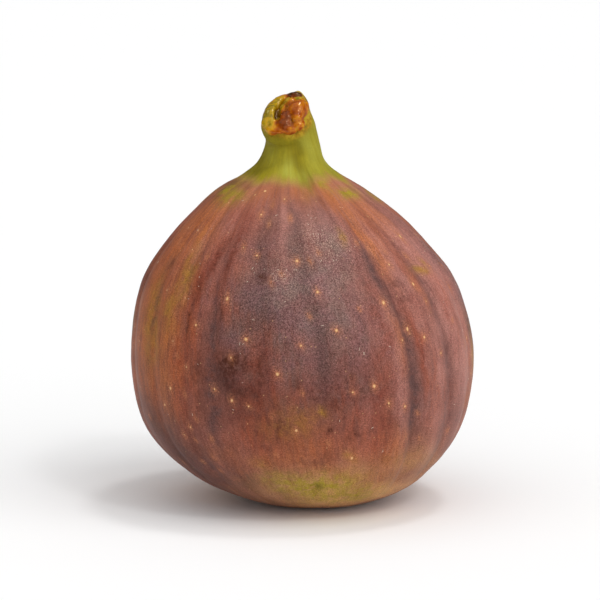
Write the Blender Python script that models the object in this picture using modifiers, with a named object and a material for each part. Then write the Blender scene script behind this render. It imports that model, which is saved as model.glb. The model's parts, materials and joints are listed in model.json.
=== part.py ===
"""A fresh fig with its neck and snapped stalk, standing on its blossom end.

Metres, +Z up. The fig stands on the origin and shows its best side to -Y.
Body, neck and stalk grew as one piece, so they are one object: an outline is
turned round the Z axis, and each point of the turned skin is then moved by
formulas for the ribs, the lean, the foot and the snapped end of the stalk.

Azimuths are measured from -Y towards +X, seen from above.
"""

import math
import random

import bmesh
import bpy
from mathutils import Vector, noise
from mathutils.geometry import interpolate_bezier

MM = 0.001

# Half of the outline, from the middle of the stalk's end down to the eye.
OUTLINE_MM = (  # radius, height
    (0.0, 55.9),
    (2.3, 55.6),
    (3.4, 54.6),
    (3.65, 52.7),
    (3.8, 50.6),
    (4.8, 48.4),
    (7.1, 46.2),
    (11.0, 43.5),
    (16.1, 39.2),
    (20.8, 32.9),
    (23.7, 25.4),
    (23.95, 17.6),
    (22.0, 10.0),
    (16.9, 4.1),
    (11.2, 1.1),
    (6.8, -0.1),
    (3.2, -0.1),
    (1.9, 0.8),
    (0.9, 0.9),
    (0.0, 0.5),
)
BODY_ROW = 2.3 * MM  # rows of the turned skin, on the body
NECK_ROW = 0.9 * MM  # on the neck and round the eye
END_ROW = 0.45 * MM  # and on the snapped end
NECK_FOOT = 46.2 * MM
END_FOOT = 54.6 * MM  # outline points over this height are on the snapped end
EYE_MOUTH = 3.5 * MM
POLE_RADIUS = 0.7 * MM  # within it the skin has one column of faces to a rib

# Ribs: the grooves in front have their own places, the others share the rest.
FRONT_GROOVES = (  # azimuth in degrees at mid height, depth as a share
    (-58.0, 0.6),
    (-43.5, 0.6),
    (-30.5, 1.0),
    (-12.3, 0.8),
    (6.0, 0.9),
    (27.5, 0.8),
    (38.3, 1.3),
    (57.5, 1.1),
)
BACK_GROOVES = 13
BACK_JITTER = 3.0  # degrees
BACK_DEPTHS = (0.6, 1.2)
SEED = 7
GROOVE_DEPTH = 0.45 * MM
GROOVE_HALF_WIDTH = 0.1  # as a share of its rib
RIB_CROWN = 0.22 * MM  # how far a rib's middle stands above its shoulders
RIB_SHARES = (0.0, 0.14, 0.37, 0.63, 0.86)  # points of a rib from groove to groove
RIBS_RISE = (0.2 * MM, 8.0 * MM)  # heights between which the ribs come up from the foot
TWIST = -0.22  # degrees of azimuth for each millimetre of height
TWIST_CENTRE = 24.0 * MM

# Neck: the ribs fade into a few broad folds, and these end at the stalk
NECK_FADES = (42.0 * MM, 48.0 * MM)
NECK_FADE = 0.88  # share of a rib that is gone on the neck
STALK_FADES = (50.0 * MM, 53.0 * MM)
NECK_FLUTES = 5
FLUTE_DEPTH = 0.14 * MM
FLUTE_AZIMUTH = 16.0  # of one fold's bottom

# Lean and lumps
FOOT_SHIFT = 1.9 * MM  # the foot stands this far towards +X
FOOT_TOP = 16.0 * MM
NECK_SHIFT = -1.5 * MM  # and the neck this far towards -X
LEAN_HEIGHTS = (23.0 * MM, 44.0 * MM)
STALK_NOD = (-0.9 * MM, -1.5 * MM)  # the stalk's end nods towards -X and -Y
NOD_START = 48.0 * MM
NOD_REACH = 8.0 * MM
LUMP_SIZE = 26.0 * MM
LUMP_HEIGHT = 0.5 * MM

# Snapped end of the stalk, a slanted face. Places on it are shares of its radius.
END_AZIMUTH = -20.0  # the side to which it slants down
END_SLOPE = 0.8  # rise over run
SLOPE_HEIGHTS = (49.5 * MM, 54.3 * MM)
END_RADIUS = 3.5 * MM
LOBES = (  # place to the right and uphill, reach, height in mm
    (0.50, 0.20, 0.42, 0.75),  # the large lobe
    (-0.72, 0.12, 0.32, 0.50),  # the small one
    (0.08, -0.72, 0.28, 0.50),  # beads of sap along the lower rim
    (-0.42, -0.75, 0.20, 0.35),
    (0.88, -0.40, 0.22, 0.30),
    (0.28, 1.00, 0.22, 0.80),  # the torn tip
)
CLEFT_PLACE = -0.34  # the cleft runs uphill here, and bends right at its lower end
CLEFT_BEND = 0.22
CLEFT_BEND_REACH = 0.6
CLEFT_MIDDLE = 0.1
CLEFT_LENGTHS = (0.35, 0.85)  # from its middle, where it starts to fade and where it ends
CLEFT_HALF_WIDTH = 0.15
CLEFT_DEPTH = 0.75 * MM
RIM_HEIGHTS = (53.4 * MM, 55.0 * MM)  # the relief of the end sets in here
LIP_AZIMUTH = -70.0  # the rim bulges out here
LIP_HEIGHT = 0.3 * MM
LIP_LEVEL = 54.0 * MM
LIP_REACH = 1.3 * MM


def smooth_step(low, high, value):
    """0 below low, 1 above high, and an even S between them."""
    share = min(max((value - low) / (high - low), 0.0), 1.0)
    return share * share * (3 - 2 * share)


def bell(distance, reach):
    """1 in the middle of a bump, falling to almost 0 at twice its reach."""
    return math.exp(-((distance / reach) ** 2))


def direction(angle):
    """Level unit vector at an azimuth in radians."""
    return Vector((math.sin(angle), -math.cos(angle), 0))


def row_height(knot):
    """How far apart the rows of the skin are, from this knot of the outline down."""
    if knot.z > END_FOOT:
        return END_ROW
    if knot.z > NECK_FOOT or knot.x < EYE_MOUTH:
        return NECK_ROW
    return BODY_ROW


def outline_points():
    """Points of the half outline, on a smooth curve through OUTLINE_MM."""
    knots = [Vector((radius, 0, height)) * MM for radius, height in OUTLINE_MM]
    points = [knots[0]]
    for index in range(len(knots) - 1):
        start, end = knots[index], knots[index + 1]
        before = knots[max(index - 1, 0)]
        after = knots[min(index + 2, len(knots) - 1)]
        steps = max(1, round((end - start).length / row_height(start)))
        leave = start + (end - before) / 6
        arrive = end - (after - start) / 6
        points += interpolate_bezier(start, leave, arrive, end, steps + 1)[1:]
    return points


def groove_list():
    """Azimuth and depth share of each groove, once round from the first front one."""
    draw = random.Random(SEED)
    grooves = list(FRONT_GROOVES)
    first, last = grooves[0][0] + 360, grooves[-1][0]
    gap = (first - last) / (BACK_GROOVES + 1)
    for index in range(1, BACK_GROOVES + 1):
        azimuth = last + gap * index + draw.uniform(-BACK_JITTER, BACK_JITTER)
        grooves.append((azimuth, draw.uniform(*BACK_DEPTHS)))
    return grooves


def turned_skin(columns):
    """The outline turned once round Z, as a mesh."""
    points = outline_points()
    mesh = bpy.data.meshes.new("outline")
    mesh.from_pydata(points, [(i, i + 1) for i in range(len(points) - 1)], [])
    outline = bpy.data.objects.new("outline", mesh)
    bpy.context.scene.collection.objects.link(outline)
    screw = outline.modifiers.new("Screw", "SCREW")
    screw.steps = screw.render_steps = columns
    screw.use_merge_vertices = True
    screw.merge_threshold = 1e-6
    graph = bpy.context.evaluated_depsgraph_get()
    skin = bpy.data.meshes.new_from_object(outline.evaluated_get(graph))
    bpy.data.objects.remove(outline)
    return skin


def rib_strength(height):
    """How much of the ribs shows at this height: they fade at the foot and on the neck."""
    on_neck = NECK_FADE * smooth_step(*NECK_FADES, height)
    below_stalk = 1 - smooth_step(*STALK_FADES, height)
    return smooth_step(*RIBS_RISE, height) * (1 - on_neck) * below_stalk


def rib_relief(share, depth):
    """What a rib adds to the radius, at a share of the way between its grooves."""
    groove = GROOVE_DEPTH * depth * bell(min(share, 1 - share), GROOVE_HALF_WIDTH)
    return RIB_CROWN * math.sin(math.pi * share) - groove


def flute_relief(angle, height):
    """What the neck's soft folds add to the radius."""
    on_neck = smooth_step(*NECK_FADES, height) * (1 - smooth_step(*STALK_FADES, height))
    return -FLUTE_DEPTH * on_neck * math.cos(NECK_FLUTES * (angle - math.radians(FLUTE_AZIMUTH)))


def lip_relief(angle, height):
    """What the swollen rim of the snapped end adds to the radius."""
    facing = max(math.cos(angle - math.radians(LIP_AZIMUTH)), 0.0)
    return LIP_HEIGHT * facing**3 * bell(height - LIP_LEVEL, LIP_REACH)


def middle_line(height):
    """Where the fig's middle is at this height, as x and y."""
    foot = FOOT_SHIFT * max(1 - height / FOOT_TOP, 0.0) ** 2
    neck = NECK_SHIFT * smooth_step(*LEAN_HEIGHTS, height)
    nod = (max(height - NOD_START, 0.0) / NOD_REACH) ** 2
    return foot + neck + STALK_NOD[0] * nod, STALK_NOD[1] * nod


def end_relief(right, uphill):
    """Height of the snapped end's lobes and cleft at a place on it."""
    relief = 0.0
    for lobe_right, lobe_uphill, reach, height in LOBES:
        away = math.hypot(right - lobe_right, uphill - lobe_uphill)
        relief += height * MM * bell(away, reach)
    line = CLEFT_PLACE + CLEFT_BEND * smooth_step(0, CLEFT_BEND_REACH, -uphill)
    along = 1 - smooth_step(*CLEFT_LENGTHS, abs(uphill - CLEFT_MIDDLE))
    return relief - CLEFT_DEPTH * along * bell(right - line, CLEFT_HALF_WIDTH)


def skin_angle(rib, share, grooves, height):
    """Azimuth in radians of a point in a rib, with the fig's twist."""
    azimuth = grooves[rib][0]
    next_azimuth = grooves[rib + 1][0]
    twist = TWIST * (height - TWIST_CENTRE) / MM
    return math.radians(azimuth + share * (next_azimuth - azimuth) + twist)


def shape_skin(mesh, grooves):
    """Moves each point of the turned skin to where it is on the fig."""
    in_rib = len(RIB_SHARES)
    columns = len(grooves) * in_rib
    ring = grooves + [(grooves[0][0] + 360, grooves[0][1])]
    downhill = direction(math.radians(END_AZIMUTH))
    rightward = direction(math.radians(END_AZIMUTH + 90))
    end_normal = (END_SLOPE * downhill + Vector((0, 0, 1))).normalized()
    for vertex in mesh.vertices:
        height = vertex.co.z
        radius = vertex.co.xy.length
        column = round(math.atan2(vertex.co.x, -vertex.co.y) / math.tau * columns) % columns
        rib = column // in_rib
        share = RIB_SHARES[column % in_rib]
        if radius < POLE_RADIUS:
            share = round(share)
        angle = skin_angle(rib, share, ring, height)
        around = direction(angle)

        lump = LUMP_HEIGHT * noise.noise(around + Vector((0, 0, height / LUMP_SIZE)))
        swell = rib_strength(height) * (rib_relief(share, ring[rib + round(share)][1]) + lump)
        swell += flute_relief(angle, height) + lip_relief(angle, height)
        place = around * (radius + swell * smooth_step(0, EYE_MOUTH, radius))

        slope = END_SLOPE * smooth_step(*SLOPE_HEIGHTS, height)
        place.z = max(height - slope * place.dot(downhill), 0.0)
        right = place.dot(rightward) / END_RADIUS
        uphill = -place.dot(downhill) / END_RADIUS
        place += end_normal * end_relief(right, uphill) * smooth_step(*RIM_HEIGHTS, height)
        vertex.co = place + Vector((*middle_line(height), 0))


def stand_on_origin(mesh):
    """Moves the fig so that the middle of its box is over the origin."""
    for axis in (0, 1):
        places = [vertex.co[axis] for vertex in mesh.vertices]
        middle = (min(places) + max(places)) / 2
        for vertex in mesh.vertices:
            vertex.co[axis] -= middle


def skin_material():
    material = bpy.data.materials.new("fig_skin")
    material.use_nodes = True
    shader = material.node_tree.nodes["Principled BSDF"]
    shader.inputs["Base Color"].default_value = (0.27, 0.12, 0.08, 1)
    shader.inputs["Roughness"].default_value = 0.5
    shader.inputs["Metallic"].default_value = 0.0
    return material


def make_fig():
    grooves = groove_list()
    mesh = turned_skin(len(grooves) * len(RIB_SHARES))
    shape_skin(mesh, grooves)
    shell = bmesh.new()
    shell.from_mesh(mesh)
    bmesh.ops.remove_doubles(shell, verts=shell.verts, dist=1e-6)
    shell.to_mesh(mesh)
    shell.free()
    stand_on_origin(mesh)
    mesh.materials.append(skin_material())
    mesh.shade_smooth()
    mesh.name = "fig"
    return bpy.data.objects.new("fig", mesh)


def main():
    for old in list(bpy.data.objects):
        bpy.data.objects.remove(old)
    parts = bpy.data.collections.new("fresh_fig")
    bpy.context.scene.collection.children.link(parts)
    parts.objects.link(make_fig())


main()
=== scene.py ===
import json
import math
import random

import bpy
import numpy as np
from mathutils import Matrix, Vector, noise

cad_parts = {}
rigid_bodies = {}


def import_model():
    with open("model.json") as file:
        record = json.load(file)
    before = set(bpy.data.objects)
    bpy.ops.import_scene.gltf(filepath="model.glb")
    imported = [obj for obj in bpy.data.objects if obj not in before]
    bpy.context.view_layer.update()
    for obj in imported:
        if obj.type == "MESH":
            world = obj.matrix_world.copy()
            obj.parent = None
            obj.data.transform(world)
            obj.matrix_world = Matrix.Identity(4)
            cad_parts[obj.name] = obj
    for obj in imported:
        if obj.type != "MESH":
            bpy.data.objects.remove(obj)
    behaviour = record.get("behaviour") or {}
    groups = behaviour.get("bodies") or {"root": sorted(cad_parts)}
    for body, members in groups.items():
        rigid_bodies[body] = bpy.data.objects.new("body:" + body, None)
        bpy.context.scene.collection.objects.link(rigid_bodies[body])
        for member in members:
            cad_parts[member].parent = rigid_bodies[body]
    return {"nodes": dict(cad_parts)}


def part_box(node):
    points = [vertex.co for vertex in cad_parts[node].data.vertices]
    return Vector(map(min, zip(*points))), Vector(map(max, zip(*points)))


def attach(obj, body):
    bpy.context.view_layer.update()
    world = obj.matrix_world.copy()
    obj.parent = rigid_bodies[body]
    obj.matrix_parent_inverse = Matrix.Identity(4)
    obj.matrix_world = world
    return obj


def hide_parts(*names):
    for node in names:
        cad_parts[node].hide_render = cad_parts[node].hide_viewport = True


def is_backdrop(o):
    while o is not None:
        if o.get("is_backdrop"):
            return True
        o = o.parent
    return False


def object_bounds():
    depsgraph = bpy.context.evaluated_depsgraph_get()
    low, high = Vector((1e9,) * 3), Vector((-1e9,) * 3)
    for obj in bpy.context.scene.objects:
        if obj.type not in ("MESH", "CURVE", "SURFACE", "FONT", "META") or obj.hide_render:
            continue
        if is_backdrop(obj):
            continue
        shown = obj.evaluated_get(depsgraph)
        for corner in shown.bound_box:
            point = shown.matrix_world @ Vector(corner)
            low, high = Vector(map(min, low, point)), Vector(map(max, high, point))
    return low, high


for old in list(bpy.data.objects):
    bpy.data.objects.remove(old)
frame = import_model()
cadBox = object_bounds()

mm = 0.001
lowCorner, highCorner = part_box("fig")
figHeight = highCorner.z - lowCorner.z

# The snapped end of the stalk, a slanted face
stalkEnd = {
    "middle": Vector((-2.3 * mm, -1.56 * mm, figHeight - 2.0 * mm)),
    "azimuth": -20.0,  # the side to which it slants down
    "slope": 0.8,  # rise over run
    "radius": 3.5 * mm,
    "foot": (50, 51),  # heights in mm over which its colour may start
    "rim": (-1.7 * mm, -0.7 * mm),  # and how far under the face it fades out
    "run": 1.0 * mm,  # how much further it has run on the right
}

# The ribs turn a little on their way up, so marks are placed by the azimuth that a rib has at
# mid height. Azimuth 0 is the best side, and it grows to the right, seen from that side.
ribs = {
    "twist": 0.22,  # degrees for each millimetre of height
    "midHeight": 24.0,
    "girth": 24.0 * mm,  # radius on which marks along the ribs are measured
    "drawnOut": 4,  # how many times longer patterns are along the ribs
    "levels": 60,  # places on the fig's middle line
    "levelReach": 1.2 * mm,
}


def selectOnly(piece):
    for other in bpy.context.selected_objects:
        other.select_set(False)
    piece.select_set(True)
    bpy.context.view_layer.objects.active = piece


def applyModifier(piece, kind, **settings):
    selectOnly(piece)
    modifier = piece.modifiers.new(kind, kind)
    for name, value in settings.items():
        setattr(modifier, name, value)
    bpy.ops.object.modifier_apply(modifier=modifier.name)


def editMesh(piece):
    selectOnly(piece)
    bpy.ops.object.mode_set(mode="EDIT")
    bpy.ops.mesh.select_all(action="SELECT")


def leaveEdit():
    bpy.ops.object.mode_set(mode="OBJECT")


def readPoints(mesh):
    points = np.zeros(len(mesh.vertices) * 3)
    mesh.vertices.foreach_get("co", points)
    return points.reshape(-1, 3)


def readNormals(mesh):
    normals = np.zeros(len(mesh.vertices) * 3, np.float32)
    mesh.vertex_normals.foreach_get("vector", normals)
    return normals.reshape(-1, 3).astype(float)


def writePoints(mesh, points):
    mesh.vertices.foreach_set("co", points.astype(np.float32).ravel())
    mesh.update()


def writeShade(mesh, name, values):
    layer = mesh.attributes.new(name, "FLOAT", "POINT")
    layer.data.foreach_set("value", values.astype(np.float32))


def step(low, high, values):
    share = np.clip((values - low) / (high - low), 0, 1)
    return share * share * (3 - 2 * share)


def bell(away, reach):
    return np.exp(-((away / reach) ** 2))


def wrapped(turn):
    # the same turn, between -180 and 180 degrees
    return (turn + 180) % 360 - 180


def sideways(azimuth):
    angle = math.radians(azimuth)
    return Vector((math.sin(angle), -math.cos(angle), 0))


def plug(tree, socket, source):
    if isinstance(source, bpy.types.NodeSocket):
        tree.links.new(source, socket)
    elif isinstance(source, tuple) and len(source) == 3 and socket.type == "RGBA":
        socket.default_value = (*source, 1)
    else:
        socket.default_value = source


def maths(tree, operation, first, second=0.0, third=None, clamp=False):
    node = tree.nodes.new("ShaderNodeMath")
    node.operation = operation
    node.use_clamp = clamp
    plug(tree, node.inputs[0], first)
    plug(tree, node.inputs[1], second)
    if third is not None:
        plug(tree, node.inputs[2], third)
    return node.outputs[0]


def times(tree, first, second):
    return maths(tree, "MULTIPLY", first, second)


def timesPlus(tree, first, second, third):
    return maths(tree, "MULTIPLY_ADD", first, second, third)


def blend(tree, amount, first, second, mode="MIX"):
    node = tree.nodes.new("ShaderNodeMix")
    node.data_type = "RGBA"
    node.blend_type = mode
    plug(tree, node.inputs[0], amount)
    plug(tree, node.inputs[6], first)
    plug(tree, node.inputs[7], second)
    return node.outputs[2]


def shade(tree, name, output="Fac"):
    node = tree.nodes.new("ShaderNodeAttribute")
    node.attribute_name = name
    return node.outputs[output]


def grain(tree, coords, size, detail, roughness, offset=0.0):
    if offset:
        mapping = tree.nodes.new("ShaderNodeMapping")
        mapping.inputs["Location"].default_value = (offset, offset, offset)
        plug(tree, mapping.inputs["Vector"], coords)
        coords = mapping.outputs[0]
    node = tree.nodes.new("ShaderNodeTexNoise")
    plug(tree, node.inputs["Vector"], coords)
    node.inputs["Scale"].default_value = 1 / size
    node.inputs["Detail"].default_value = detail
    node.inputs["Roughness"].default_value = roughness
    return node.outputs[0]


def spread(tree, value, low, high):
    node = tree.nodes.new("ShaderNodeMapRange")
    node.interpolation_type = "SMOOTHSTEP"
    plug(tree, node.inputs["Value"], value)
    node.inputs["From Min"].default_value = low
    node.inputs["From Max"].default_value = high
    return node.outputs[0]


def ramp(tree, value, stops):
    node = tree.nodes.new("ShaderNodeValToRGB")
    plug(tree, node.inputs[0], value)
    bands = node.color_ramp.elements
    while len(bands) < len(stops):
        bands.new(0.5)
    for band, (place, colour) in zip(bands, stops):
        band.position = place
        band.color = (*colour, 1)
    return node.outputs[0]


def ragged(tree, mask, pattern, raggedness):
    # a mask whose edge is broken up by a pattern
    broken = spread(tree, pattern, 0.32, 0.68)
    shifted = timesPlus(tree, broken, 2 * raggedness, 1 - raggedness)
    return maths(tree, "MULTIPLY", mask, shifted, clamp=True)


def addBump(tree, shader, height, strength, distance):
    bump = tree.nodes.new("ShaderNodeBump")
    bump.inputs["Strength"].default_value = strength
    bump.inputs["Distance"].default_value = distance
    plug(tree, bump.inputs["Height"], height)
    plug(tree, shader.inputs["Normal"], bump.outputs[0])


def newFinish(name):
    material = bpy.data.materials.new(name)
    material.use_nodes = True
    return material, material.node_tree, material.node_tree.nodes["Principled BSDF"]


skin = {
    "subdivisions": 2,
    "grooveRounds": 36,  # rounds of averaging against which a groove's depth is measured
    "fillRounds": 110,  # and the same for the wider hollows that are filled
    "grooveDepth": 0.16 * mm,  # depth that counts as a full groove
    "fill": 0.45,  # how far the hollows between ribs are filled up, on average
    "fillSwing": 0.30,  # less on the right of the best side, more on its left
    "fillSide": 48.0,  # rib azimuth where the hollows stay deepest
    "fillPatches": 0.35,  # more or less from place to place
    "fillPatchSize": 6 * mm,
    "fillMost": 0.9,
    "fillDeepest": 1.5 * mm,
    "fillStart": 0.12 * mm,  # shallower hollows are hardly filled, so no crease shows
    "frontFill": 0.35,  # more on the best side, which is smooth low down
    "frontReach": 24,  # degrees to each side of it
    "frontTop": (30, 37),  # heights in mm over which that ends
    "neckFill": 1.2,  # how far the hollow under the head of the stalk is filled
    "headFoot": (48.5, 50.5),
    "bodyTop": (47, 50),  # heights over which the relief of the body ends
    "grooveTop": (44, 47),  # and the painted shade in the grooves
    "filledGroove": 0.6,  # how much of that painted shade goes where the hollows are filled
    "young": (39, 46),  # heights over which the skin turns younger and smoother
    "striaeDepth": 0.030 * mm,  # fine lines along the ribs
    "striaeWidth": 1.1 * mm,
    "lumpDepth": 0.16 * mm,
    "lumpSize": 5.0 * mm,
    "dentDepth": 0.05 * mm,
    "dentSize": 1.6 * mm,
    "softening": 0.35,  # how far sharp edges and groove bottoms are rounded off
    "softenMost": 0.3 * mm,
    "eyeReach": (2, 5),  # mm from the eye over which the relief sets in
    "extraGroove": 0.10 * mm,  # how much further the bands of painted groove shade are sunk
    "neckFold": 0.42 * mm,  # how deep the folds of the neck are, under their painted shade
    "foldFoot": (44, 46.5),
    "foldTop": (51.5, 53.5),
    "dimple": (0.0, 5.3, 0.9 * mm, 0.25 * mm),  # rib azimuth, height in mm, radius, depth
    "swells": (  # rib azimuth, height in mm, half width in degrees, half height in mm, rise
        (-80.0, 32.0, 45.0, 4.5, 0.45 * mm),
        (82.0, 31.8, 45.0, 3.0, 0.40 * mm),
        (-85.0, 43.8, 40.0, 2.0, 0.40 * mm),
        (-85.0, 51.5, 40.0, 1.0, -0.22 * mm),
        (85.0, 50.6, 40.0, 1.9, 0.38 * mm),
        (85.0, 55.4, 45.0, 1.5, -0.50 * mm),
        (82.0, 16.0, 40.0, 6.0, 0.35 * mm),
        (80.0, 5.0, 40.0, 2.0, -0.20 * mm),
    ),
}

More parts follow.
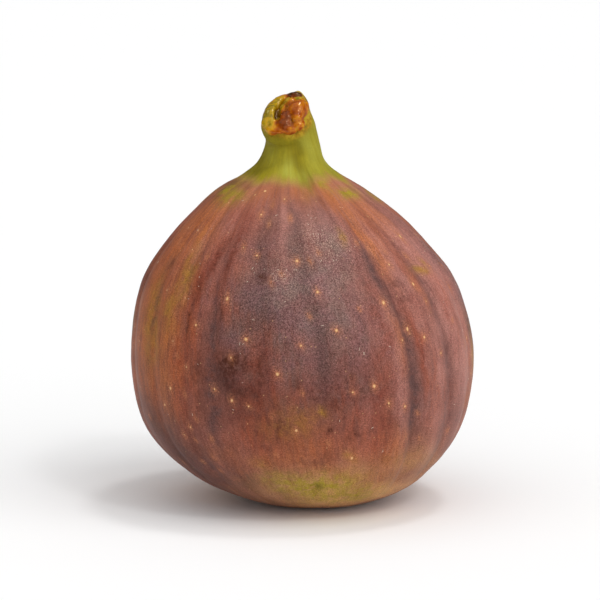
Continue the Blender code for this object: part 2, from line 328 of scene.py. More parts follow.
# Each mark: rib azimuth, height in mm, half width and half height in mm, lean in degrees of
# azimuth for each mm of height, strength
marks = {
    "gloom": (  # broad painted shade, under all the rest
        (-22, 20.5, 6, 9, 0, 0.6),
        (-4, 24, 6, 13, 0, 0.4),
        (12, 21.5, 5, 9, 0, 0.4),
        (-46, 22, 4.5, 7, 0, 0.3),
        (-66, 24, 5, 9, 0, 0.3),
        (-21, 33, 3, 5, 0, 0.15),
        (-57, 9, 6, 6, 0, 0.5),
        (50, 22, 4, 7, 0, 0.25),
        (26, 17, 3.5, 7, 0, 0.25),
        (-70, 47.5, 5, 3, 0, 0.25),
        (-15, 30.5, 3.5, 3.5, 0, 0.5),
        (-1, 29, 3, 3, 0, 0.3),
        (-62, 21, 6, 8, 0, 0.5),
        (62, 22, 8, 9, 0, 0.25),
        (42, 7, 6, 4.5, 0, 0.45),
        (36, 13.5, 3, 3, 0, 0.3),
        (41, 19, 3, 6, 0, 0.4),
        (-60, 11, 7, 5, 0, 0.25),
        (-24, 20.5, 3, 3.5, 0, 0.25),
        (-16.5, 28, 3, 3.5, 0, 0.5),
    ),
    # painted shade: dark bands along the grooves, on their shadowed side, and a few broader patches low
    # down
    "dusk": (
        (34.6, 35, 0.9, 4, -0.1, 0.8),
        (38, 27, 0.9, 7, -0.3, 0.65),
        (38.8, 18, 1.2, 7.5, 0.05, 0.8),
        (6.5, 26, 0.8, 7, -0.05, 0.45),
        (-12.5, 21, 0.8, 6, 0, 0.45),
        (22, 38, 0.8, 4, 0, 0.3),
        (25, 43, 1.5, 1.8, 0, 0.3),
        (56.5, 31, 1.2, 8, -0.1, 0.5),
        (57.5, 18, 1.5, 8, 0.1, 0.35),
        (-30.8, 27.5, 0.7, 7.5, 0.1, 0.7),
        (-32, 17, 1, 7, 0.2, 0.85),
        (-12.5, 36.5, 1.2, 6.5, 0, 0.65),
        (5, 37, 1.1, 7, -0.15, 0.75),
        (7.5, 23.5, 1.8, 3.4, 0, 0.4),
        (-28.5, 19.5, 1.8, 3.4, 0.2, 0.3),
        (-59.8, 29, 0.5, 6, 0.1, 0.6),
        (-61.5, 34.5, 0.9, 1.3, 0, 0.25),
        (-45.4, 34, 0.3, 5, 0.1, 0.35),
        (-58, 10.5, 6, 5, 0, 0.5),
        (-42, 6, 5, 3.6, 0, 0.5),
        (59, 11, 3.2, 6, 0, 0.3),
        (43.5, 32.5, 1.5, 1.8, 0, 0.5),
        (22, 29, 0.8, 6, 0, 0.4),
        (16, 24, 2.4, 2.2, 0, 0.2),
        (-3, 30, 2.4, 1.6, 0, 0.25),
        (-17, 27.5, 2, 2.4, 0, 0.35),
        (11, 28, 1.2, 1.6, 0, 0.35),
        (-14.5, 30.8, 2.4, 2.6, 0, 0.5),
    ),
    "flush": (
        (42.6, 24, 0.5, 5, -0.15, 0.8),
        (-40.3, 27.5, 0.9, 8, 0.25, 0.5),
        (-36.5, 34.8, 0.7, 3.6, 0.5, 0.75),
        (-34, 35.8, 0.5, 3, 0.9, 0.9),
        (-27, 36, 0.4, 3.4, 0.35, 0.9),
        (-24.5, 38.5, 0.4, 2, 0.3, 0.7),
        (25, 17.5, 1.8, 8, 0, 0.6),
        (29.5, 28, 1.1, 7, 0, 0.5),
        (-13, 22, 1.5, 5, 0, 0.95),
        (-20, 18, 4, 5, 0, 0.5),
        (45, 31, 1.3, 2.6, -0.5, 0.45),
        (53.5, 38.5, 0.8, 5, 0, 0.6),
        (40, 31, 0.8, 3.6, 0.2, 0.5),
        (7, 9, 1.2, 2.6, 0, 0.5),
        (62, 27, 0.7, 7, 0, 0.35),
        (-22, 41, 2.6, 2.6, 0, 0.4),
        (20, 43.6, 3.2, 1.2, 0, 0.3),
        (-42.5, 17, 1.2, 6, 0, 0.5),
        (24.5, 8.5, 2, 3, 0, 0.35),
        (8, 19, 3.5, 4, 0, 0.4),
        (-3, 15, 4, 3, 0, 0.35),
    ),
    "rust": (  # red-brown streaks along the ribs
        (-41, 28.5, 1.5, 9, 0.2, 0.8),
        (-37.5, 22, 0.9, 6, 0.2, 0.55),
        (-46.5, 21, 1, 8, 0, 0.5),
        (-50, 33, 0.8, 5, 0.1, 0.45),
        (-56, 31, 1, 7, 0.1, 0.45),
        (-66, 34, 2, 5, 0, 0.4),
        (-70, 22, 2.2, 7, 0, 0.4),
        (-57, 19, 1.4, 6, 0, 0.4),
        (43, 24, 0.8, 6, -0.15, 0.7),
        (26, 19, 1.5, 8, 0, 0.3),
        (-31, 21, 1, 5, 0.1, 0.4),
        (-26.5, 32.5, 2.2, 4.5, 0.2, 0.5),
        (55, 17.5, 1.6, 4, 0, 0.35),
        (-14, 27, 3, 4, 0, 0.35),
        (48, 18, 1.1, 7, 0, 0.4),
        (51, 36, 0.9, 6, -0.1, 0.3),
        (66, 30, 1.4, 7, 0, 0.4),
        (73, 22, 1.6, 8, 0, 0.35),
        (33, 39.5, 0.9, 3.5, 0, 0.3),
        (14, 18.5, 2.2, 5, 0, 0.4),
        (-2, 18.5, 1.6, 5, 0, 0.35),
        (-12, 18, 2, 6, 0, 0.5),
        (-19, 13.5, 3, 4, 0, 0.45),
        (2, 12.5, 4, 2.6, 0, 0.35),
        (21, 12, 3, 3, 0, 0.35),
        (-30, 41, 1.6, 3, 0.4, 0.45),
        (-16, 42.5, 2, 2, 0, 0.4),
    ),
    "blot": (  # small, dark and broken up
        (-22.5, 23.6, 2.4, 1.1, -0.3, 0.95),
        (-24.5, 22, 1.5, 1.8, 0.4, 0.6),
        (-19.5, 23, 1, 0.8, 0.4, 0.5),
        (-13.8, 22.6, 0.7, 2.6, 0, 0.5),
        (-3, 21, 0.8, 1.8, 0, 0.4),
        (16, 22.5, 1.8, 1.6, 0, 0.25),
        (11.5, 19.5, 1.2, 2.2, 0, 0.2),
        (-12.3, 34.5, 1, 0.55, 0.6, 0.8),
        (-20, 19.5, 2.6, 1.6, 0, 0.35),
        (-27, 36, 0.32, 3.4, 0.35, 0.35),
        (-34, 35.8, 0.45, 2.8, 0.9, 0.35),
        (-38, 32.4, 0.5, 1.2, 0.2, 0.4),
        (-40.5, 29, 0.4, 3, 0.2, 0.55),
        (-28, 29, 0.35, 2.6, 0.3, 0.45),
        (-60, 35, 0.5, 1.2, 0, 0.2),
        (7, 14.5, 0.55, 0.45, 0, 0.95),
        (15.5, 13.8, 0.65, 0.4, 0, 0.9),
        (14.2, 12.9, 0.4, 0.35, 0, 0.8),
        (5, 19.5, 2.6, 2.4, 0, 0.35),
        (-10, 15.5, 2.4, 2.2, 0, 0.3),
        (20, 20, 1.6, 2.2, 0, 0.3),
        (-2, 10, 3.4, 1.2, 0, 0.3),
        (-36, 21, 0.9, 3.6, 0, 0.35),
    ),
    "ochre": (
        (-62, 29.5, 1.4, 4.2, 0.1, 0.6),
        (-57.5, 25, 1.2, 3, -0.2, 0.45),
        (-45.5, 33.5, 1, 2.6, 0, 0.75),
        (-50, 29.5, 1.3, 3.2, 0, 0.6),
        (-48.5, 36, 0.7, 3, 0.1, 0.5),
        (-61, 23.5, 1.2, 3.4, 0, 0.3),
        (60.5, 34.3, 1.7, 0.6, 0, 0.75),
        (65.5, 35.2, 0.7, 0.6, 0, 0.6),
        (27.6, 39.4, 0.45, 0.9, 0.6, 0.9),
        (-5, 15.2, 3.6, 2.6, 0, 0.35),
        (14, 10.2, 1, 0.9, 0, 0.5),
        (-20, 9.2, 1.6, 0.8, 0, 0.35),
        (5.5, 17, 0.5, 0.7, 0, 0.8),
        (40, 8.5, 4, 2.5, 0, 0.3),
    ),
    "ember": (  # orange and salmon
        (36.5, 44, 1.8, 2.4, 0, 0.95),
        (40.5, 38.5, 1, 4.6, -0.1, 0.9),
        (-20, 44.4, 2.6, 1.5, 0, 0.55),
        (-53, 40.5, 3.4, 4.5, 0, 0.8),
        (16, 45.2, 2.4, 1.2, 0, 0.5),
        (-64, 24, 5, 6, 0, 0.3),
        (38, 46.4, 5, 1.3, 0, 0.6),
        (-66, 38, 4, 5, 0, 0.7),
        (60, 42.5, 3, 3, 0, 0.7),
        (48, 41, 1.4, 4, 0, 0.3),
        (-41.5, 29, 1.2, 7, 0.2, 0.45),
        (-53, 24, 4.5, 10, 0, 0.75),
        (-68, 27, 4.5, 9, 0, 0.75),
        (8, 44.9, 5, 1.5, 0, 0.55),
        (30, 10.5, 3.6, 3.6, 0, 0.5),
        (-2, 10.5, 6, 2.6, 0, 0.5),
        (-32, 9, 3, 3, 0, 0.3),
        (53, 34, 0.8, 4, 0, 0.4),
        (35, 27, 1, 5, 0, 0.4),
        (20, 5.5, 5, 3, 0, 0.4),
    ),
    "tan": (  # painted light at the foot, pale where the floor lights it from below
        (8, 4, 9, 4.2, 0, 0.7),
        (52, 6, 6, 4, 0, 0.4),
        (-30, 3, 6, 2.6, 0, 0.25),
        (28, 2.4, 9, 2.2, 0, 0.6),
    ),
    "leaf": (  # yellow-green, besides the neck
        (-50, 43.8, 2.2, 1, 0, 0.75),
        (-62, 44.6, 1.8, 1, 0, 0.6),
        (61, 44.4, 2.2, 0.7, 0, 0.85),
        (41, 46, 0.9, 0.9, 0, 0.8),
        (0, 5.2, 5.4, 2.4, 0, 0.7),
        (15, 5.2, 4, 2.4, 0, 0.35),
        (6, 3.2, 7, 1.2, 0, 0.35),
        (-14, 6.8, 2.6, 1.2, 0, 0.35),
        (24, 4, 3, 1.6, 0, 0.2),
    ),
    "moss": (  # darker green, painted shade in the dimple and the folds of the neck
        (0, 5.3, 0.8, 0.7, 0, 0.85),
        (-52, 49, 1.6, 3, 0.6, 0.25),
        (-78, 48.5, 2.6, 3, 0, 0.5),
        (19, 48.8, 0.8, 3.6, 0.6, 0.9),
        (23.5, 46.4, 0.6, 1.6, 0.3, 0.8),
        (-20, 50.5, 1.2, 2, 0.8, 0.25),
        (0, 50.6, 1, 0.8, 0, 0.35),
    ),
    "lime": (  # lighter green, painted light on the ridges of the neck
        (44, 50, 1.3, 4.2, 0, 0.45),
        (-25, 49.5, 3, 2, 0, 0.3),
        (4, 47.4, 0.9, 1.5, 0, 0.85),
        (-12, 47, 0.9, 1.1, 0, 0.5),
        (13, 46.6, 0.7, 1, 0, 0.6),
        (27, 46.6, 0.9, 1.2, 0, 0.6),
        (72, 49, 2.2, 3.5, 0, 0.5),
    ),
    "rose": (  # the dusty pink side
        (66, 24, 7, 13, 0, 0.8),
        (50, 24, 3.6, 12, 0, 0.6),
        (84, 30, 8, 14, 0, 0.7),
        (0, 42.8, 7, 3.2, 0, 0.6),
        (33, 20, 1.1, 9, 0, 0.6),
        (28, 42.5, 3, 2.5, 0, 0.3),
        (46, 34, 1.8, 7, 0, 0.5),
        (38, 8, 6, 4, 0, 0.3),
        (68, 36, 4, 5, 0, 0.5),
        (-38, 40, 3.4, 3.6, 0.3, 0.5),
        (31.5, 29, 2, 6, 0, 0.5),
        (58, 45.2, 8, 2.4, 0, 0.8),
    ),
    "bloom": (  # grey, waxy and finely speckled
        (-6, 31.5, 7, 7, 0, 0.85),
        (14, 34, 6, 7, 0, 0.62),
        (20, 25, 4.5, 7, 0, 0.5),
        (24, 38.5, 2.6, 2.6, 0, 0.8),
        (-20, 28, 3, 5, 0, 0.6),
        (0, 22, 7, 6, 0, 0.5),
        (-42, 28.5, 0.6, 4, 0.2, 0.5),
        (-36, 31, 1.4, 4, 0.3, 0.3),
    ),
    "dust": (  # pale grains lying close together
        (15, 40, 1.4, 0.9, 0, 0.9),
        (11, 40.6, 0.8, 0.6, 0, 0.7),
        (20, 38.5, 2.6, 2, 0, 0.6),
        (-4, 34.8, 1.2, 0.7, 0, 0.8),
        (-10, 41.5, 1.2, 0.6, 0, 0.5),
        (21, 34.5, 1.4, 1, 0, 0.4),
        (0, 36, 6, 6, 0, 0.25),
    ),
}

# The same kinds of mark on the sides and back, where a seeded draw places them
backMarks = {
    "seed": 11,
    "from": 80.0,  # rib azimuths between which they lie
    "to": 280.0,
    "kinds": {  # how many, heights, half widths, half heights, strengths
        "gloom": (9, (14, 34), (3, 6), (6, 12), (0.25, 0.5)),
        "dusk": (34, (10, 40), (0.6, 1.5), (3, 8), (0.35, 0.8)),
        "flush": (30, (10, 42), (0.6, 1.8), (3, 8), (0.35, 0.8)),
        "rust": (34, (10, 42), (0.7, 2.2), (3, 8), (0.35, 0.8)),
        "blot": (26, (9, 40), (0.3, 2.2), (0.6, 2.6), (0.3, 0.8)),
        "ochre": (16, (8, 38), (0.8, 1.8), (1.5, 5), (0.35, 0.75)),
        "ember": (16, (14, 44), (1.8, 4.5), (4, 9), (0.4, 0.8)),
        "tan": (5, (3, 6), (5, 8), (2.5, 4), (0.35, 0.6)),
        "leaf": (9, (42.5, 45), (1.2, 2.4), (0.7, 1.3), (0.5, 0.85)),
        "moss": (5, (48, 51), (0.9, 2.2), (2.5, 4), (0.4, 0.8)),
        "lime": (4, (48, 51), (0.9, 1.8), (2, 4), (0.4, 0.8)),
        "rose": (8, (14, 40), (3, 7), (7, 12), (0.4, 0.8)),
        "bloom": (8, (16, 38), (3.5, 8), (5, 9), (0.4, 0.9)),
        "dust": (7, (22, 42), (0.8, 2), (0.6, 1.4), (0.3, 0.8)),
    },
}


def makeSkinMesh():
    mesh = frame["nodes"]["fig"].data.copy()
    mesh.name = "figSkin"
    piece = bpy.data.objects.new("figSkin", mesh)
    bpy.context.scene.collection.objects.link(piece)
    selectOnly(piece)
    bpy.ops.mesh.customdata_custom_splitnormals_clear()
    editMesh(piece)
    bpy.ops.mesh.remove_doubles(threshold=1e-6)
    bpy.ops.mesh.tris_convert_to_quads()
    leaveEdit()
    rounds = skin["subdivisions"]
    applyModifier(piece, "SUBSURF", levels=rounds, render_levels=rounds)
    bpy.ops.object.shade_smooth()
    return piece


def middleLine(points):
    # heights, and the x and y of the fig's middle at each of them
    levels = np.linspace(points[:, 2].min(), points[:, 2].max(), ribs["levels"])
    middles = []
    for level in levels:
        near = points[np.abs(points[:, 2] - level) < ribs["levelReach"]][:, :2]
        middles.append((near.min(axis=0) + near.max(axis=0)) / 2)
    return levels, np.array(middles)


def skinPlaces(points, line):
    # rib azimuth in degrees, height in mm and radius in mm of each point
    levels, middles = line
    out = [points[:, axis] - np.interp(points[:, 2], levels, middles[:, axis]) for axis in (0, 1)]
    height = points[:, 2] / mm
    azimuth = np.degrees(np.arctan2(out[0], -out[1]))
    rib = azimuth + ribs["twist"] * (height - ribs["midHeight"])
    return rib, height, np.hypot(*out) / mm


def cavityOf(mesh, points, rounds):
    # how far each point lies below the same surface after rounds of averaging
    edges = np.zeros(len(mesh.edges) * 2, int)
    mesh.edges.foreach_get("vertices", edges)
    first, second = edges.reshape(-1, 2).T
    count = len(points)
    joined = np.bincount(first, minlength=count) + np.bincount(second, minlength=count)
    smoothed = points.copy()
    for _ in range(rounds):
        total = np.zeros_like(smoothed)
        for axis in range(3):
            total[:, axis] = np.bincount(first, smoothed[second, axis], count)
            total[:, axis] += np.bincount(second, smoothed[first, axis], count)
        smoothed = 0.5 * smoothed + 0.5 * total / joined[:, None]
    return ((smoothed - points) * readNormals(mesh)).sum(axis=1)


def acrossRibs(turn, radius):
    # millimetres round the fig, not less than on a thin stalk
    return np.radians(turn) * np.maximum(radius, 4)


def markShade(places, kind):
    # soft patches whose sides waver, each drawn over the ones before it
    rib, height, radius = places
    total = np.zeros_like(rib)
    wobble = random.Random(kind)
    for markRib, markHeight, halfWidth, halfHeight, lean, strength in allMarks[kind]:
        up = height - markHeight
        phase = wobble.uniform(0, math.tau)
        wave = 0.25 * halfWidth * np.sin(up * 1.1 + phase) + 0.15 * np.sin(up * 2.3 + phase * 2)
        across = acrossRibs(wrapped(rib - markRib - lean * up), radius) + wave
        along = np.exp(-(np.abs(up / halfHeight) ** 2.2))
        total = 1 - (1 - total) * (1 - strength * bell(across, halfWidth) * along)
    return total


def drawBackMarks():
    draw = random.Random(backMarks["seed"])
    for kind, (count, heights, widths, lengths, strengths) in backMarks["kinds"].items():
        for index in range(count):
            share = (index + draw.uniform(0.1, 0.9)) / count
            rib = backMarks["from"] + share * (backMarks["to"] - backMarks["from"])
            values = [draw.uniform(*limits) for limits in (heights, widths, lengths)]
            lean, strength = draw.uniform(-0.2, 0.2), draw.uniform(*strengths)
            yield kind, (rib, *values, lean, strength)


allMarks = {kind: list(listed) for kind, listed in marks.items()}
for kind, mark in drawBackMarks():
    allMarks[kind].append(mark)


greenNeck = {
    "foot": 46.3,  # height in mm of its lower edge
    "fade": 1.5,
    "waves": ((0.3, 3, 0.6), (0.25, 7, 2.0), (0.15, 13, 0.0)),  # rise, waves all round, phase
    "bays": ((0.5, -28, 12), (-0.5, 8, 14), (0.4, 58, 12)),  # rise, rib azimuth, reach in degrees
}


def neckShade(places):
    # the green neck, whose lower edge runs further down along some ribs
    rib, height, _ = places
    edge = np.full_like(rib, greenNeck["foot"])
    for rise, count, phase in greenNeck["waves"]:
        edge += rise * np.sin(count * np.radians(rib) + phase)
    for rise, middle, reach in greenNeck["bays"]:
        edge += rise * bell(rib - middle, reach)
    return step(-greenNeck["fade"], greenNeck["fade"], height - edge)


def endAxes():
    # right, uphill and outward on the snapped end
    downhill = sideways(stalkEnd["azimuth"])
    right = sideways(stalkEnd["azimuth"] + 90)
    outward = (downhill * stalkEnd["slope"] + Vector((0, 0, 1))).normalized()
    return right, outward.cross(right), outward


def endPlaces(points):
    # how far each point lies right, uphill and outward from the middle of the snapped end
    away = points - np.array(stalkEnd["middle"])
    return [away @ np.array(axis) for axis in endAxes()]


def endShade(points):
    # 1 on the snapped end of the stalk, fading over its rim
    rights, _, above = endPlaces(points)
    onStalk = step(*stalkEnd["foot"], points[:, 2] / mm)
    run = stalkEnd["run"] * step(0, stalkEnd["radius"], rights)
    return step(*stalkEnd["rim"], above + run) * onStalk


def haloShade(places, seats):
    # 1 at each lenticel, fading over the skin round it
    rib, height, radius = places
    total = np.zeros_like(rib)
    for _, markRib, markHeight, width, stretch in seats:
        across = acrossRibs(wrapped(rib - markRib), radius)
        away = np.hypot(across, (height - markHeight) / stretch)
        reach = lenticels["haloShare"] * width + lenticels["haloRim"]
        total = np.maximum(total, bell(away, reach))
    return total


def paintSkin(mesh, places, seats):
    # the shades of the skin's finish that follow from the place alone
    for kind in marks:
        writeShade(mesh, kind, markShade(places, kind))
    writeShade(mesh, "neck", neckShade(places))
    writeShade(mesh, "young", step(*skin["young"], places[1]))
    writeShade(mesh, "halo", haloShade(places, seats))
    layer = mesh.attributes.new("alongRibs", "FLOAT_VECTOR", "POINT")
    layer.data.foreach_set("vector", ribPlaces(places).astype(np.float32).ravel())


def ribPlaces(places):
    # places in which everything is drawn out along the ribs
    rib, height, _ = places
    turn, girth = np.radians(rib), ribs["girth"]
    along = height * mm / ribs["drawnOut"]
    return np.stack([girth * np.sin(turn), -girth * np.cos(turn), along], axis=1)


def noiseOver(places, size, shift=0.0):
    move = Vector((shift, shift, shift))
    return np.array([noise.noise(Vector(place) / size + move) for place in places])


def makeFigSkin():
    piece = makeSkinMesh()
    mesh = piece.data
    points = readPoints(mesh)
    normals = readNormals(mesh)
    line = middleLine(points)
    places = skinPlaces(points, line)
    rib, height, radius = places
    sharpness = cavityOf(mesh, points, skin["grooveRounds"])
    cavity = np.clip(sharpness / skin["grooveDepth"], -1, 1)
    hollow = np.clip(cavityOf(mesh, points, skin["fillRounds"]), 0, skin["fillDeepest"])
    hollow *= hollow / (hollow + skin["fillStart"])
    onBody = 1 - step(*skin["bodyTop"], height)
    along = ribPlaces(places)
    fill = skin["fill"] - skin["fillSwing"] * np.cos(np.radians(rib - skin["fillSide"]))
    lowDown = 1 - step(*skin["frontTop"], height)
    fill += skin["frontFill"] * bell(rib, skin["frontReach"]) * lowDown
    fill += skin["fillPatches"] * noiseOver(along, skin["fillPatchSize"])
    fill = np.clip(fill, 0, skin["fillMost"])

    seats = seatLenticels(places)
    paintSkin(mesh, places, seats)
    grooves = np.clip(cavity, 0, 1)
    withinGrooves = 1 - step(*skin["grooveTop"], height)
    # painted shade in the grooves and painted light on the ridge crowns, both from the cavity
    writeShade(mesh, "grooveShade", grooves * withinGrooves * (1 - skin["filledGroove"] * fill))
    writeShade(mesh, "crownLight", np.clip(-cavity, 0, 1) * onBody)
    writeShade(mesh, "snapped", endShade(points))

    relief = fill * hollow * onBody
    relief += skin["neckFill"] * hollow * step(*skin["headFoot"], height)
    softened = np.clip(sharpness, -skin["softenMost"], skin["softenMost"])
    relief += skin["softening"] * softened * onBody
    for swellRib, swellHeight, halfWidth, halfHeight, rise in skin["swells"]:
        across = bell(wrapped(rib - swellRib), halfWidth)
        relief += rise * across * bell(height - swellHeight, halfHeight)
    relief += skin["striaeDepth"] * (noiseOver(along, skin["striaeWidth"]) - 1) * onBody
    relief += skin["lumpDepth"] * (noiseOver(points, skin["lumpSize"]) - 1) / 2 * onBody
    relief += skin["dentDepth"] * (noiseOver(points, skin["dentSize"], 3.0) - 1) / 2
    relief -= skin["extraGroove"] * markShade(places, "dusk") * grooves
    onNeck = step(*skin["foldFoot"], height) * (1 - step(*skin["foldTop"], height))
    relief -= skin["neckFold"] * markShade(places, "moss") * onNeck
    dimpleRib, dimpleHeight, reach, depth = skin["dimple"]
    away = np.hypot(np.radians(rib - dimpleRib) * radius, height - dimpleHeight) * mm
    relief -= depth * bell(away, reach)
    relief *= step(*skin["eyeReach"], radius + height)
    writePoints(mesh, points + normals * relief[:, None])

    mesh.materials.clear()
    mesh.materials.append(skinFinish())
    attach(piece, "root")
    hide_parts("fig")
    return piece, line, seats


skinColours = {
    "wine": (0.110, 0.036, 0.028),
    "russet": (0.240, 0.081, 0.058),
    "clay": (0.380, 0.150, 0.112),
    "gloom": (0.044, 0.018, 0.015),
    "blot": (0.060, 0.014, 0.008),
    "bloomGrey": (0.150, 0.103, 0.096),
    "bloomMauve": (0.178, 0.090, 0.098),
    "dust": (0.480, 0.330, 0.250),
    "dusk": (0.085, 0.044, 0.042),
    "flush": (0.180, 0.038, 0.022),
    "rust": (0.310, 0.070, 0.028),
    "ochre": (0.330, 0.170, 0.022),
    "ember": (0.435, 0.135, 0.040),
    "tan": (0.640, 0.340, 0.150),
    "pink": (0.430, 0.195, 0.160),
    "leaf": (0.292, 0.238, 0.009),
    "leafDeep": (0.212, 0.172, 0.005),
    "moss": (0.150, 0.115, 0.003),
    "lime": (0.345, 0.330, 0.045),
    "straw": (0.350, 0.205, 0.055),
    "halo": (0.380, 0.140, 0.065),
    "cork": (0.660, 0.400, 0.190),
    "corkEdge": (0.480, 0.200, 0.085),
    "sapAmber": (0.300, 0.120, 0.003),
    "sapGold": (0.440, 0.290, 0.020),
    "sapOlive": (0.220, 0.150, 0.004),
    "sapDark": (0.100, 0.038, 0.002),
}

# How strongly each kind of mark covers what is under it, and how broken its edges are
layers = (
    ("gloom", "gloom", 1.0, "clouds", 0.35),
    ("rose", "pink", 0.75, "streaks", 0.35),
    ("ember", "ember", 0.80, "fineStreaks", 0.35),
    ("tan", "tan", 0.85, "clouds", 0.35),
    ("bloom", "bloomGrey", 0.80, "clouds", 0.30),
    ("rust", "rust", 0.70, "fineStreaks", 0.60),
    ("flush", "flush", 0.75, "blotches", 0.65),
    ("ochre", "ochre", 0.85, "blotches", 0.55),
    ("leaf", "leaf", 0.90, "blotches", 0.55),
    ("dusk", "dusk", 0.85, "blotches", 0.45),
    ("blot", "blot", 0.95, "flecks", 0.80),
)

skinLook = {
    "toneShares": {"streaks": 0.35, "fineStreaks": 0.20, "clouds": 0.25, "blotches": 0.20},
    # painted shade in the grooves, and painted light on the ridge crowns
    "grooves": 0.35,
    "crowns": 0.15,
    "mottle": 0.4,  # dark red, in short streaks
    "mottleTint": (0.62, 0.42, 0.40),
    "halo": 0.65,
    "grain": 0.55,  # sandy, all over
    "bloomGrain": 0.40,  # and more of it where the bloom lies
    "darkGrain": 0.80,
    "darkGrainTint": (0.35, 0.32, 0.32),
    "paleGrainTint": (1.75, 1.75, 1.80),
    "dust": 0.9,
    "bloomDust": 0.12,
    "pinpoints": 0.45,
    "roughness": 0.38,
    "neckRoughness": 0.2,  # added on the neck
    "bumpStrength": 0.35,
    "bumpDepth": 0.12 * mm,
}


def skinFinish():
    material, tree, shader = newFinish("figSkinFinish")
    coords = tree.nodes.new("ShaderNodeTexCoord").outputs["Object"]
    along = shade(tree, "alongRibs", "Vector")
    colours, look = skinColours, skinLook
    patterns = {
        "streaks": grain(tree, along, 3.0 * mm, 3, 0.55),
        "fineStreaks": grain(tree, along, 0.7 * mm, 3, 0.6, offset=0.3),
        "clouds": grain(tree, coords, 5.0 * mm, 4, 0.6),
        "blotches": grain(tree, coords, 1.5 * mm, 4, 0.65, offset=0.7),
        "flecks": grain(tree, coords, 0.7 * mm, 3, 0.7, offset=0.2),
    }
    speckle = grain(tree, coords, 0.21 * mm, 2, 0.7)
    sand = grain(tree, coords, 0.15 * mm, 1, 0.6, offset=0.4)
    tints = grain(tree, coords, 3.0 * mm, 3, 0.6, offset=0.9)

    tone = 0.0
    for name, share in look["toneShares"].items():
        tone = timesPlus(tree, patterns[name], share, tone)
    colour = ramp(tree, tone, (
        (0.38, colours["wine"]),
        (0.50, colours["russet"]),
        (0.62, colours["clay"]),
    ))
    # painted shade in the grooves and painted light on the ridge crowns
    grooveShade = ragged(tree, shade(tree, "grooveShade"), patterns["blotches"], 0.7)
    colour = blend(tree, times(tree, grooveShade, look["grooves"]), colour, colours["wine"])
    crownLight = times(tree, shade(tree, "crownLight"), look["crowns"])
    colour = blend(tree, crownLight, colour, colours["clay"])
    # each layer over the last; the broad dark washes and the dark bands along the grooves are painted
    # shade, the pale foot is painted light
    for name, paint, amount, pattern, raggedness in layers:
        mask = ragged(tree, shade(tree, name), patterns[pattern], raggedness)
        laid = colours[paint]
        if name == "bloom":
            laid = blend(tree, spread(tree, tints, 0.36, 0.64), laid, colours["bloomMauve"])
        colour = blend(tree, times(tree, mask, amount), colour, laid)

    # dark red mottling, in short streaks
    mottle = grain(tree, along, 0.45 * mm, 3, 0.7, offset=1.3)
    older = timesPlus(tree, shade(tree, "young"), -0.6, 1.0)
    mottled = times(tree, spread(tree, mottle, 0.50, 0.66), times(tree, older, look["mottle"]))
    darker = blend(tree, 1.0, colour, look["mottleTint"], "MULTIPLY")
    colour = blend(tree, mottled, colour, darker)

    # the neck: soft greens over the skin, with a straw-coloured fringe where they meet
    neck = shade(tree, "neck")
    neckEdge = times(tree, neck, timesPlus(tree, patterns["streaks"], 1.2, 0.4))
    greenTone = maths(tree, "ADD", patterns["clouds"], times(tree, patterns["blotches"], 0.6))
    greenTone = maths(tree, "ADD", greenTone, times(tree, patterns["fineStreaks"], 0.5))
    green = blend(tree, spread(tree, greenTone, 0.90, 1.20), colours["leafDeep"], colours["leaf"])
    # painted shade in the folds of the neck and painted light on its ridges
    for name in ("moss", "lime"):
        mask = ragged(tree, shade(tree, name), patterns["streaks"], 0.3)
        green = blend(tree, mask, green, colours[name])
    colour = blend(tree, spread(tree, neckEdge, 0.02, 0.45), colour, colours["straw"])
    colour = blend(tree, spread(tree, neckEdge, 0.25, 0.85), colour, green)
    # painted shade in the dimple round the eye
    dimple = times(tree, shade(tree, "moss"), maths(tree, "SUBTRACT", 1.0, neck))
    colour = blend(tree, dimple, colour, colours["moss"])

    # a dark ring and a pale corky middle at each lenticel
    halo = ragged(tree, shade(tree, "halo"), speckle, 0.6)
    colour = blend(tree, times(tree, halo, look["halo"]), colour, colours["halo"])

    # sandy grain all over, strongest where the bloom lies
    bloomed = shade(tree, "bloom")
    offNeck = timesPlus(tree, neck, -0.75, 1.0)
    offBlots = timesPlus(tree, shade(tree, "blot"), -0.7, 1.0)
    grained = timesPlus(tree, bloomed, look["bloomGrain"], look["grain"])
    for share in (offNeck, older, offBlots):
        grained = times(tree, grained, share)
    deeper = blend(tree, 1.0, colour, look["darkGrainTint"], "MULTIPLY")
    darkGrain = times(tree, spread(tree, speckle, 0.56, 0.36), grained)
    colour = blend(tree, times(tree, darkGrain, look["darkGrain"]), colour, deeper)
    paler = blend(tree, 1.0, colour, look["paleGrainTint"], "MULTIPLY")
    lightGrain = spread(tree, sand, 0.44, 0.68)
    colour = blend(tree, times(tree, lightGrain, grained), colour, paler)
    dusty = times(tree, shade(tree, "dust"), look["dust"])
    dusty = times(tree, timesPlus(tree, bloomed, look["bloomDust"], dusty), grained)
    colour = blend(tree, times(tree, lightGrain, dusty), colour, colours["dust"])

    # pinpoints of cork too small to stand out
    cells = tree.nodes.new("ShaderNodeTexVoronoi")
    plug(tree, cells.inputs["Vector"], coords)
    cells.inputs["Scale"].default_value = 1 / (1.5 * mm)
    pinpoint = times(tree, spread(tree, cells.outputs["Distance"], 0.09, 0.03), offNeck)
    cork = spread(tree, shade(tree, "cork"), 0.05, 1.0)
    cork = maths(tree, "MAXIMUM", cork, times(tree, pinpoint, look["pinpoints"]))
    corkTone = timesPlus(tree, maths(tree, "SUBTRACT", speckle, 0.5), 0.8, cork)
    coreTone = maths(tree, "ADD", corkTone, pinpoint)
    corky = blend(tree, spread(tree, coreTone, 0.60, 1.00), colours["corkEdge"], colours["cork"])
    colour = blend(tree, cork, colour, corky)

